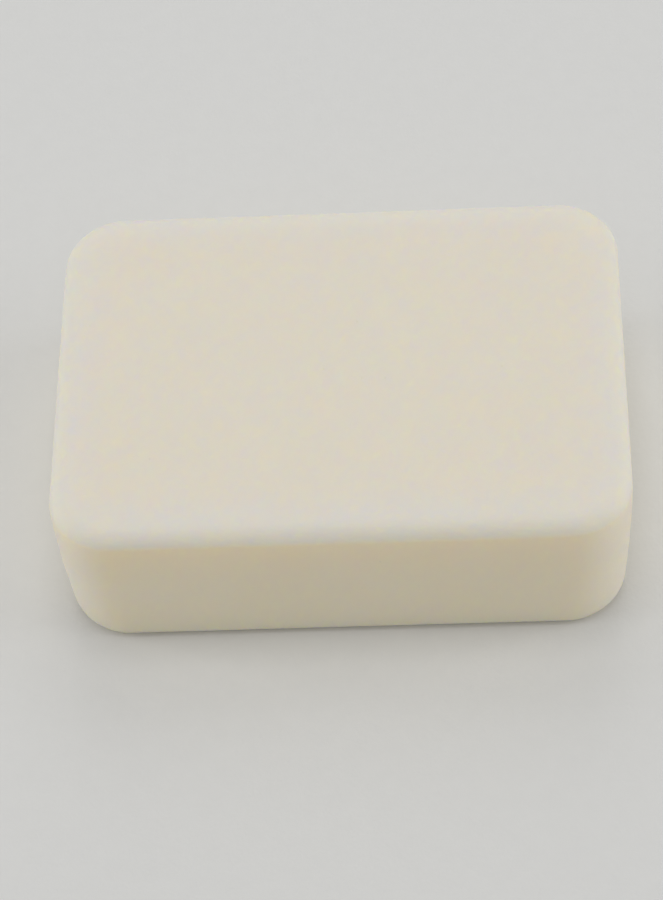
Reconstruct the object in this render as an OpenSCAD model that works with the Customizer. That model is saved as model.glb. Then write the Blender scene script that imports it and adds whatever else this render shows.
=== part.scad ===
// Gymnastics chalk block: one bar of magnesium carbonate, pressed in a mould and sold unwrapped.
// Millimetres, +Z up. The origin is the middle of the flat base, and the long side lies along X.

/* [Block] */
// Length along X, at the widest line of the block, just under its top edge
block_length = 83; // [60:1:120]
// Width along Y, at the same line
block_width = 60; // [40:1:90]
// Height from the flat base to the flat top
block_height = 26.5; // [16:0.5:45]

/* [Edges] */
// Plan radius of the four upright corners, at the widest line
corner_radius = 9; // [8:0.5:15]
// Radius of the soft edge that runs round the top face
top_edge_radius = 3; // [0.8:0.1:3.8]
// Radius of the smaller edge that runs round the base
base_edge_radius = 2; // [0.4:0.1:3]
// Draft of the sides in degrees, which lets the block drop out of its mould: the base is the narrow end
side_draft = 1.75; // [0:0.25:2]

/* [Hidden] */
$fn = 96;

// The flat of each side is sunk this far into the two edge arcs that it joins,
// so that it cuts both of them cleanly. It is too little to see or feel.
side_sink = 0.0003;

// Each upright corner is turned about an axis this far from the middle of the block.
axis_x = block_length / 2 - corner_radius;
axis_y = block_width / 2 - corner_radius;

// In the section below, x runs outwards from a corner's axis and y runs up from the base.
// These are the outward normal of the sloping side, and the centres of the arcs at its two ends.
side_normal = [cos(side_draft), -sin(side_draft)];
top_centre = [corner_radius - top_edge_radius, block_height - top_edge_radius];
side_drop = top_centre.y - base_edge_radius;
base_centre = [
    top_centre.x + (top_edge_radius - base_edge_radius - side_drop * sin(side_draft)) / cos(side_draft),
    base_edge_radius
];

// Half of the block's section, from a corner's axis out to the side, with both edges rounded.
module edge_section() {
    polygon([
        [0, 0],
        [base_centre.x, 0],
        base_centre + (base_edge_radius - side_sink) * side_normal,
        top_centre + (top_edge_radius - side_sink) * side_normal,
        [top_centre.x, block_height],
        [0, block_height]
    ]);
    translate(top_centre) circle(r = top_edge_radius);
    translate(base_centre) circle(r = base_edge_radius);
}

// A straight side: the section carried along X, centred, with its outside facing +Y.
module straight_side(length) {
    rotate([90, 0, 90])
        linear_extrude(height = length, center = true)
            edge_section();
}

// An upright corner: a quarter turn of the section, filling the quadrant between +X and +Y.
module corner() {
    rotate_extrude(angle = 90)
        edge_section();
}

// The whole bar: a plain core between the four corner axes, with the sides and corners fitted round it.
module chalk_block() {
    color("#dcd5c4") {
        translate([-axis_x, -axis_y, 0])
            cube([2 * axis_x, 2 * axis_y, block_height]);
        for (turn = [0, 180]) {
            rotate([0, 0, turn]) {
                translate([0, axis_y, 0]) straight_side(2 * axis_x);
                translate([axis_x, 0, 0]) rotate([0, 0, -90]) straight_side(2 * axis_y);
                translate([axis_x, axis_y, 0]) corner();
                translate([-axis_x, axis_y, 0]) rotate([0, 0, 90]) corner();
            }
        }
    }
}

chalk_block();
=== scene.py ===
import math
import random

import bmesh
import bpy
import numpy as np
from mathutils import Matrix, Vector, noise
from mathutils.geometry import intersect_point_line


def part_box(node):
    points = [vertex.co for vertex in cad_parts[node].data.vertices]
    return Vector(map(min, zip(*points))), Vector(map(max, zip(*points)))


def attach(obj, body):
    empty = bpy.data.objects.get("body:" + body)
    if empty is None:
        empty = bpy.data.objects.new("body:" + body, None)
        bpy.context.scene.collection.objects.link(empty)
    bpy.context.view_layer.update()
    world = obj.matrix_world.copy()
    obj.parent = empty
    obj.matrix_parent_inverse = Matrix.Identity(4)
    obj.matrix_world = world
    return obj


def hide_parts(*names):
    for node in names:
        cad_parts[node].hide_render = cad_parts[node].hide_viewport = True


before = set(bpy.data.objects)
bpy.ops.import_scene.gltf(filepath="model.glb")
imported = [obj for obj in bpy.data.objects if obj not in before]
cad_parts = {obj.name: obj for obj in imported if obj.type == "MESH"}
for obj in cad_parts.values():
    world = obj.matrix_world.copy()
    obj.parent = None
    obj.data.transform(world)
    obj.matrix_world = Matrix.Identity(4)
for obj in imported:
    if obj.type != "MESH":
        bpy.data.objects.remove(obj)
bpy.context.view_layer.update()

# A bar of pressed gymnastics chalk on a pale grey sheet, under soft studio light.
# Metres, in the block's own frame: +X along its long side, +Z up, base on the floor at z = 0.
MM = 0.001

# The block, sized from its CAD box. Its edges are shares of its length: the plan radius of its
# upright corners, the length of the turn from its top to its sides, measured over the skin,
# the radius round its base, and how far its corners draw in towards the base.
LENGTH, WIDTH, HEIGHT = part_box("chalk_block")[1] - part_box("chalk_block")[0]
CORNER_RADIUS = 0.108 * LENGTH
EDGE_TURN = 0.072 * LENGTH
BASE_RADIUS = 0.024 * LENGTH
BASE_CORNER_EASE = 0.004 * LENGTH
AXIS_X = LENGTH / 2 - CORNER_RADIUS
AXIS_Y = WIDTH / 2 - CORNER_RADIUS

# How far the sides lean inwards, just under the top edge and just above the base edge.
LEAN_ABOVE = math.radians(0.3)
LEAN_BELOW = math.radians(3.3)

# How finely the mesh is cut.
CELL = 0.6 * MM
EDGE_STEPS = 18
BASE_ARC_STEPS = 6

# Slow waves left by pressing, and the fine wear along the top edge, in three octaves.
WAVE_LENGTH = 24 * MM
WAVE_DEPTH = 0.08 * MM
WEAR_LENGTH = 5 * MM
WEAR_DEPTH = 0.05 * MM
WEAR_OCTAVES = 3

# Pinholes: places in millimetres, from the middle of the top and from the middle of the
# front's lower edge; their size; their section, from the lip inwards, in shares of the radius
# and depth; and how much the radius varies round them.
TOP_PITS = [(-2.2, -1), (3.3, -2.8), (6.7, -2.9), (2.6, 7.5), (23.6, -1.5), (-36.9, 8.4), (-27, -16)]
FRONT_PITS = [(5.5, 19.3), (2.6, 12.4)]
PIT_RADIUS = 0.12 * MM
PIT_DEPTH = 0.05 * MM
PIT_SECTION = [(1.35, 0), (1, 0.12), (0.8, 0.7), (0.4, 1)]
PIT_UNEVENNESS = 0.2
PIT_SEED = 4

# How much of the pale, grey colour lies on the skin, as two values of a measure and the share at each.
# It is partly dust and partly a painted highlight on the rim of the top, the front shoulder and the
# upright corners. The first measure is the distance in from the outline: the colour thins towards the
# middle of the top. The second is the upward part of the skin's direction. The third is its height:
# the lower half of the sides is a little paler. Upright corners, which get rubbed and catch light,
# have their own share of dust and painted highlight.
DUST_AND_HIGHLIGHT_ON_INSET = (3 * MM, 8 * MM), (1, 0.65)
DUST_AND_HIGHLIGHT_ON_TILT = (0.05, 0.4), (0, 1)
DUST_AND_HIGHLIGHT_ON_SIDE = (0.5 * HEIGHT, 0.75 * HEIGHT), (0.15, 0)
DUST_AND_HIGHLIGHT_ON_CORNER = 0.45

# A very faint scratch in the top, from the first pinhole to the third.
SCRATCH_DEPTH = 0.02 * MM
SCRATCH_HALF_WIDTH = 0.5 * MM


# ---------------------------------------------------------------- camera

def make_camera():
    """A long lens above the front edge, a little to the block's right, held slightly crooked."""
    azimuth = math.radians(5.17)
    elevation = math.radians(54.4)
    roll = math.radians(-6.02)
    distance = 5.224 * LENGTH
    aim_right = -0.029 * LENGTH
    aim_ahead = -0.070 * LENGTH
    ahead = Vector((-math.sin(azimuth), math.cos(azimuth), 0))
    right = Vector((math.cos(azimuth), math.sin(azimuth), 0))
    above = Vector((0, 0, 1))
    target = aim_right * right + aim_ahead * ahead + HEIGHT / 2 * above
    forward = ahead * math.cos(elevation) - above * math.sin(elevation)
    level_up = ahead * math.sin(elevation) + above * math.cos(elevation)
    side = right * math.cos(roll) + level_up * math.sin(roll)
    up = level_up * math.cos(roll) - right * math.sin(roll)

    camera = bpy.data.objects.new("camera", bpy.data.cameras.new("camera"))
    camera.data.lens = 117.3
    camera.data.sensor_width = 36
    camera.data.clip_start = 0.01
    camera.data.clip_end = 20
    camera.matrix_world = Matrix((
        (side.x, up.x, -forward.x, 0),
        (side.y, up.y, -forward.y, 0),
        (side.z, up.z, -forward.z, 0),
        (0, 0, 0, 1),
    ))
    camera.location = target - forward * distance
    bpy.context.scene.collection.objects.link(camera)
    bpy.context.scene.camera = camera


# ---------------------------------------------------------------- the block's mesh

def plan_ring(steps_x, steps_y):
    """Walks once round the plan, starting in the middle of the corner at -X, -Y.

    Gives each point's foot on the rectangle between the corner axes, and its outward direction.
    """
    feet = []
    outward = []
    quarter_turn = np.array([[0, -1], [1, 0]])
    for turn in range(4):
        along, across, steps = [(AXIS_X, AXIS_Y, steps_x), (AXIS_Y, AXIS_X, steps_y)][turn % 2]
        reach = along + CORNER_RADIUS * math.pi / 4
        spin = np.linalg.matrix_power(quarter_turn, turn)
        for step in range(steps):
            walked = reach * (2 * step / steps - 1)
            into_corner = max(abs(walked) - along, 0) / CORNER_RADIUS
            tilt = math.copysign(into_corner, walked)
            feet.append(spin @ (np.clip(walked, -along, along), -across))
            outward.append(spin @ (math.sin(tilt), -math.cos(tilt)))
    return np.array(feet), np.array(outward)


def section():
    """The side's profile, from the flat top round to the flat base.

    Each point is its reach beyond the corner axis and its height. The turn over the top edge
    starts gently and ends crisply, and the side below it bulges a little at mid-height.
    """
    turned = np.linspace(0, 1, EDGE_STEPS + 1)
    tilt = (math.pi / 2 - LEAN_ABOVE) * turned ** 2
    tilt = (tilt[1:] + tilt[:-1]) / 2
    steps = np.stack((np.cos(tilt), -np.sin(tilt)), axis=1) * EDGE_TURN / EDGE_STEPS
    edge = np.concatenate(([(0, HEIGHT)], (0, HEIGHT) + np.cumsum(steps, axis=0)))

    side_drop = edge[-1, 1] - BASE_RADIUS * (1 - math.sin(LEAN_BELOW))
    side_steps = round(side_drop / CELL)
    fallen = np.linspace(0, 1, side_steps + 1)[1:]
    slope_change = math.tan(LEAN_ABOVE) + math.tan(LEAN_BELOW)
    bulge = side_drop * (math.tan(LEAN_ABOVE) * fallen - slope_change * fallen ** 2 / 2)
    side = edge[-1] + np.stack((bulge, -side_drop * fallen), axis=1)

    angles = np.linspace(-LEAN_BELOW, -math.pi / 2, BASE_ARC_STEPS + 1)
    arc = BASE_RADIUS * np.stack((np.cos(angles), np.sin(angles)), axis=1)
    base = side[-1] + arc[1:] - arc[0]

    profile = np.concatenate((edge, side, base))
    profile[:, 0] += CORNER_RADIUS - profile[:, 0].max()
    return profile


def patch(ring, steps_x, steps_y):
    """Fills a plan ring with a grid that follows all four of its sides (a Coons patch)."""
    count = len(ring)
    front = ring[: steps_x + 1]
    right = ring[steps_x : steps_x + steps_y + 1]
    back = ring[steps_x + steps_y : 2 * steps_x + steps_y + 1][::-1]
    left = ring[np.arange(2 * steps_x + steps_y, count + 1) % count][::-1]
    u = np.linspace(0, 1, steps_x + 1)[:, None, None]
    v = np.linspace(0, 1, steps_y + 1)[None, :, None]
    between_ends = (1 - v) * front[:, None] + v * back[:, None]
    between_sides = (1 - u) * left[None] + u * right[None]
    corners = (
        (1 - u) * (1 - v) * front[0] + u * (1 - v) * front[-1]
        + (1 - u) * v * back[0] + u * v * back[-1]
    )
    return between_ends + between_sides - corners


def plain_block():
    """The bar as one closed skin of quads: two flat grids joined by rings down the sides."""
    steps_x = round((2 * AXIS_X + CORNER_RADIUS * math.pi / 2) / CELL)
    steps_y = round((2 * AXIS_Y + CORNER_RADIUS * math.pi / 2) / CELL)
    feet, outward = plan_ring(steps_x, steps_y)
    profile = section()
    around = len(feet)
    in_corner = 2 * np.abs(outward[:, :1] * outward[:, 1:])

    def ring(level):
        """The plan of the skin at one point of the profile."""
        reach, height = profile[level]
        ease = BASE_CORNER_EASE * max(1 - 2 * height / HEIGHT, 0)
        return feet + (reach - ease * in_corner) * outward

    points = []
    for level in range(len(profile)):
        points.append(np.column_stack((ring(level), np.full(around, profile[level][1]))))
    points = list(np.concatenate(points))

    faces = []
    for level in range(len(profile) - 1):
        for step in range(around):
            here = level * around + step
            there = level * around + (step + 1) % around
            faces.append((here, here + around, there + around, there))

    def cap(level, facing_up):
        """Closes the skin at one end of the profile. The grid's rim is the ring already there."""
        height = profile[level][1]
        grid = patch(ring(level), steps_x, steps_y)
        index = np.zeros((steps_x + 1, steps_y + 1), int)
        rim = level % len(profile) * around + np.arange(around + 1) % around
        index[:, 0] = rim[: steps_x + 1]
        index[-1, :] = rim[steps_x : steps_x + steps_y + 1]
        index[::-1, -1] = rim[steps_x + steps_y : 2 * steps_x + steps_y + 1]
        index[0, ::-1] = rim[2 * steps_x + steps_y :]
        for i in range(1, steps_x):
            for j in range(1, steps_y):
                index[i, j] = len(points)
                points.append((*grid[i, j], height))
        for i in range(steps_x):
            for j in range(steps_y):
                face = (index[i, j], index[i + 1, j], index[i + 1, j + 1], index[i, j + 1])
                faces.append(face if facing_up else face[::-1])

    cap(0, True)
    cap(-1, False)
    mesh = bpy.data.meshes.new("chalk_block_skin")
    mesh.from_pydata([tuple(p) for p in points], [], [tuple(int(k) for k in f) for f in faces])
    return mesh


def wear_down(skin):
    """Gives the pressed faces their slow waves and scratch, and the edges their fine wear."""
    start, end = [Vector((x * MM, y * MM, HEIGHT)) for x, y in (TOP_PITS[0], TOP_PITS[2])]
    moves = []
    for point in skin.verts:
        wave = WAVE_DEPTH * noise.noise(point.co / WAVE_LENGTH)
        # Each octave is half the size and half the strength of the one before.
        worn = noise.fractal(point.co / WEAR_LENGTH, 1, 2, WEAR_OCTAVES)
        wear = WEAR_DEPTH * edge_share(point.co) * abs(worn)
        nearest, along = intersect_point_line(point.co, start, end)
        nearest = start.lerp(end, min(max(along, 0), 1))
        aside = (point.co - nearest).length / SCRATCH_HALF_WIDTH
        scratch = SCRATCH_DEPTH * math.exp(-aside ** 2)
        above_floor = min(point.co.z / BASE_RADIUS, 1)
        moves.append(point.normal * (wave - wear - scratch) * above_floor)
    for point, move in zip(skin.verts, moves):
        point.co += move


def inset(place):
    """How far a place lies inside the block's outline, seen from above."""
    past_x = abs(place.x) - AXIS_X
    past_y = abs(place.y) - AXIS_Y
    past_corner_axis = math.hypot(max(past_x, 0), max(past_y, 0)) + min(max(past_x, past_y), 0)
    return CORNER_RADIUS - past_corner_axis


def edge_share(place):
    """How near a place is to the turn between the top and the sides: 0 on the faces, 1 on it."""
    top_share = 1 - (HEIGHT - place.z) / EDGE_TURN
    side_share = 1 - inset(place) / EDGE_TURN
    return max(min(top_share, side_share), 0)


def points_round(centre):
    """The mesh points round a centre, in order: the far corners of the quads that meet there."""
    onward = {}
    for face in centre.link_faces:
        corners = list(face.verts)
        first = corners.index(centre)
        before, corner, after = [corners[(first + k) % 4] for k in (1, 2, 3)]
        onward[before] = corner
        onward[corner] = after
    rim = [min(onward, key=lambda point: point.index)]
    while len(rim) < len(onward):
        rim.append(onward[rim[-1]])
    return rim


def sink_pit(skin, place, pit_shade, rng):
    """Swaps the four faces round the mesh point nearest to place for a small round pit."""
    centre = min(skin.verts, key=lambda point: (point.co - place).length)
    rim = points_round(centre)
    into = -centre.normal
    middle = place + into * into.dot(centre.co - place)
    bmesh.ops.delete(skin, geom=[centre], context="VERTS")

    outer = rim
    swell = [rng.uniform(1 - PIT_UNEVENNESS, 1 + PIT_UNEVENNESS) for point in rim]
    for reach, depth in PIT_SECTION:
        inner = []
        for point, stretch in zip(rim, swell):
            away = point.co - middle
            away = (away - into * away.dot(into)).normalized()
            spot = middle + away * PIT_RADIUS * reach * stretch + into * PIT_DEPTH * depth
            inner.append(skin.verts.new(spot))
            # Below half its depth, the whole pit gets the full painted shade of its bottom.
            inner[-1][pit_shade] = min(depth * 2, 1)
        for k in range(len(rim)):
            skin.faces.new((outer[k - 1], outer[k], inner[k], inner[k - 1]))
        outer = inner
    skin.faces.new(outer)


def lay_dust_and_highlight(skin, dust_and_highlight):
    """Stores on each mesh point its share of the pale colour: partly dust, partly painted highlight.
    """
    for point in skin.verts:
        rim_dust_and_highlight = np.interp(inset(point.co), *DUST_AND_HIGHLIGHT_ON_INSET) * np.interp(point.normal.z, *DUST_AND_HIGHLIGHT_ON_TILT)
        # Upright corners: partly rubbed, partly a painted highlight where they catch light.
        corner_wear_and_highlight = 2 * abs(point.normal.x * point.normal.y) * DUST_AND_HIGHLIGHT_ON_CORNER
        point[dust_and_highlight] = max(rim_dust_and_highlight, corner_wear_and_highlight, np.interp(point.co.z, *DUST_AND_HIGHLIGHT_ON_SIDE))


def make_block():
    """The finished bar: pressed, worn and pitted, with its dust, painted highlight and painted shade
    in the pits.
    """
    mesh = plain_block()
    skin = bmesh.new()
    skin.from_mesh(mesh)
    skin.normal_update()
    wear_down(skin)
    skin.normal_update()
    # Share of the pale colour at each point: partly dust, partly painted highlight.
    dust_and_highlight = skin.verts.layers.float.new("dust_and_highlight")
    # How much painted shade each point of a pinhole gets.
    pit_shade = skin.verts.layers.float.new("pit_shade")
    rng = random.Random(PIT_SEED)
    for x, y in TOP_PITS:
        sink_pit(skin, Vector((x * MM, y * MM, HEIGHT)), pit_shade, rng)
    for x, z in FRONT_PITS:
        sink_pit(skin, Vector((x * MM, -WIDTH / 2, z * MM)), pit_shade, rng)
    skin.normal_update()
    lay_dust_and_highlight(skin, dust_and_highlight)
    skin.to_mesh(mesh)
    skin.free()
    mesh.polygons.foreach_set("use_smooth", [True] * len(mesh.polygons))
    block = bpy.data.objects.new("pressed_chalk_bar", mesh)
    bpy.context.scene.collection.objects.link(block)
    return block


# ---------------------------------------------------------------- materials

CHALK_PALE = (0.895, 0.8, 0.605, 1)
CHALK_DEEP = (0.888, 0.792, 0.58, 1)
# Pale grey: partly dust, partly a painted highlight on the rims, the front shoulder and the upright
# corners.
CHALK_DUST_AND_HIGHLIGHT = (0.79, 0.768, 0.73, 1)
# Painted shade inside the pinholes: darker and greyer than the chalk.
CHALK_PIT_SHADE = (0.8, 0.745, 0.605, 1)
CHALK_ROUGHNESS = (0.46, 0.58)
PAPER_LIGHT = (0.755, 0.755, 0.74, 1)
PAPER_DARK = (0.745, 0.745, 0.73, 1)

# How far red, green and blue light spread inside the chalk, in millimetres.
LIGHT_SPREAD = (5.0, 4.0, 0.5)

# Most values of a noise texture lie between these two.
NOISE_LOW = 0.3
NOISE_HIGH = 0.7

# The dust and painted highlight lie thinner in patches: this is the least and the most of them that
# stays.
DUST_AND_HIGHLIGHT_PATCHINESS = (0.7, 1)

# Sizes of the blotches and grains in the chalk and in the paper.
CLOUD_SIZE = 9 * MM
DUST_AND_HIGHLIGHT_PATCH_SIZE = 2.5 * MM
SHINE_PATCH_SIZE = 0.6 * MM
CHALK_GRAIN_SIZE = 0.35 * MM
CHALK_GRAIN_HEIGHT = 0.01 * MM
PAPER_MOTTLE_SIZE = 3 * MM
PAPER_GRAIN_SIZE = 0.8 * MM
PAPER_GRAIN_HEIGHT = 0.02 * MM


def new_material(name):
    """An empty material, with its nodes, their links and its surface node."""
    material = bpy.data.materials.new(name)
    material.use_nodes = True
    nodes = material.node_tree.nodes
    return material, nodes, material.node_tree.links, nodes["Principled BSDF"]


def speckle(nodes, links, size, low, high):
    """A noise of the given grain size, stretched so that most of it spans low to high."""
    place = nodes.new("ShaderNodeTexCoord")
    texture = nodes.new("ShaderNodeTexNoise")
    texture.inputs["Scale"].default_value = 1 / size
    texture.inputs["Detail"].default_value = 3
    links.new(place.outputs["Object"], texture.inputs["Vector"])
    spread = nodes.new("ShaderNodeMapRange")
    spread.inputs["From Min"].default_value = NOISE_LOW
    spread.inputs["From Max"].default_value = NOISE_HIGH
    spread.inputs["To Min"].default_value = low
    spread.inputs["To Max"].default_value = high
    links.new(texture.outputs["Fac"], spread.inputs["Value"])
    return spread.outputs["Result"]


def blend(nodes, links, share, first, second):
    """Mixes two colours by share. Each is a constant or another node's output."""
    mix = nodes.new("ShaderNodeMix")
    mix.data_type = "RGBA"
    links.new(share, mix.inputs[0])
    for socket, colour in ((mix.inputs[6], first), (mix.inputs[7], second)):
        if isinstance(colour, tuple):
            socket.default_value = colour
        else:
            links.new(colour, socket)
    return mix.outputs[2]


def multiply(nodes, links, first, second):
    """Multiplies two nodes' outputs."""
    product = nodes.new("ShaderNodeMath")
    product.operation = "MULTIPLY"
    links.new(first, product.inputs[0])
    links.new(second, product.inputs[1])
    return product.outputs["Value"]


def grain(nodes, links, surface, size, height):
    """Raises a fine grain on the surface."""
    bump = nodes.new("ShaderNodeBump")
    bump.inputs["Distance"].default_value = height
    links.new(speckle(nodes, links, size, 0, 1), bump.inputs["Height"])
    links.new(bump.outputs["Normal"], surface.inputs["Normal"])


def chalk_material():
    """Pressed magnesia: translucent and a little yellow inside, paler on its edges with dust and a
    painted highlight, with painted shade in its pinholes.
    """
    material, nodes, links, surface = new_material("pressed_chalk")
    # Share of the pale colour: partly dust, partly painted highlight.
    dust_and_highlight = nodes.new("ShaderNodeAttribute")
    dust_and_highlight.attribute_name = "dust_and_highlight"
    # Painted shade inside the pinholes.
    pit_shade = nodes.new("ShaderNodeAttribute")
    pit_shade.attribute_name = "pit_shade"
    clouds = speckle(nodes, links, CLOUD_SIZE, 0, 1)
    body = blend(nodes, links, clouds, CHALK_DEEP, CHALK_PALE)
    patches = speckle(nodes, links, DUST_AND_HIGHLIGHT_PATCH_SIZE, *DUST_AND_HIGHLIGHT_PATCHINESS)
    dust_and_highlight_cover = multiply(nodes, links, dust_and_highlight.outputs["Fac"], patches)
    with_dust_and_highlight = blend(nodes, links, dust_and_highlight_cover, body, CHALK_DUST_AND_HIGHLIGHT)
    with_pit_shade = blend(nodes, links, pit_shade.outputs["Fac"], with_dust_and_highlight, CHALK_PIT_SHADE)
    links.new(with_pit_shade, surface.inputs["Base Color"])
    links.new(speckle(nodes, links, SHINE_PATCH_SIZE, *CHALK_ROUGHNESS), surface.inputs["Roughness"])
    surface.inputs["Subsurface Weight"].default_value = 1.0
    surface.inputs["Subsurface Radius"].default_value = LIGHT_SPREAD
    surface.inputs["Subsurface Scale"].default_value = MM
    surface.inputs["Sheen Weight"].default_value = 0.15
    surface.inputs["Sheen Roughness"].default_value = 0.4
    grain(nodes, links, surface, CHALK_GRAIN_SIZE, CHALK_GRAIN_HEIGHT)
    return material


def paper_material():
    """Plain pale grey paper, very faintly mottled."""
    material, nodes, links, surface = new_material("grey_paper")
    mottle = speckle(nodes, links, PAPER_MOTTLE_SIZE, 0, 1)
    links.new(blend(nodes, links, mottle, PAPER_DARK, PAPER_LIGHT), surface.inputs["Base Color"])
    surface.inputs["Roughness"].default_value = 0.9
    surface.inputs["Specular IOR Level"].default_value = 0.2
    grain(nodes, links, surface, PAPER_GRAIN_SIZE, PAPER_GRAIN_HEIGHT)
    return material


# ---------------------------------------------------------------- floor and light

FLOOR_REACH = 3.0
ROOM_LIGHT = 0.37

# The lamps: where each one hangs, how wide it is, and its power in watts.
LAMPS = {
    "overhead": ((0, 0, 1.3), 0.5, 2.8),
    "high_back": ((0, 0.75, 1.0), 0.6, 1.4),
    "high_front": ((0, -0.75, 1.0), 0.6, 0.4),
    "back": ((0, 1.1, 0.55), 0.6, 0.6),
    "left": ((-1.15, 0, 0.5), 0.8, 4.1),
    "right": ((1.15, 0, 0.5), 0.8, 4.3),
}


def make_floor():
    """One flat sheet of paper, reaching past the edges of the picture."""
    mesh = bpy.data.meshes.new("floor")
    corners = [(x * FLOOR_REACH, y * FLOOR_REACH, 0) for x, y in ((-1, -1), (1, -1), (1, 1), (-1, 1))]
    mesh.from_pydata(corners, [], [(0, 1, 2, 3)])
    mesh.materials.append(paper_material())
    floor = bpy.data.objects.new("floor", mesh)
    bpy.context.scene.collection.objects.link(floor)


def softbox(name, place, size, power):
    """A large square white lamp at place, aimed at the block."""
    lamp = bpy.data.lights.new(name, "AREA")
    lamp.shape = "SQUARE"
    lamp.size = size
    lamp.energy = power
    box = bpy.data.objects.new(name, lamp)
    box.location = place
    box.rotation_euler = (-Vector(place)).to_track_quat("-Z", "Y").to_euler()
    box.visible_camera = False
    bpy.context.scene.collection.objects.link(box)


def light_room():
    """Lamps above and on all sides, which leave only a soft shadow close round the block."""
    scene = bpy.context.scene
    scene.view_settings.view_transform = "Standard"
    scene.view_settings.look = "None"
    world = bpy.data.worlds.new("room")
    world.use_nodes = True
    sky = world.node_tree.nodes["Background"]
    sky.inputs["Color"].default_value = (1, 1, 1, 1)
    sky.inputs["Strength"].default_value = ROOM_LIGHT
    scene.world = world
    for name, (place, size, power) in LAMPS.items():
        softbox(name, place, size, power)


make_camera()
block = make_block()
block.data.materials.append(chalk_material())
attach(block, "root")
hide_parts("chalk_block")
make_floor()
light_room()
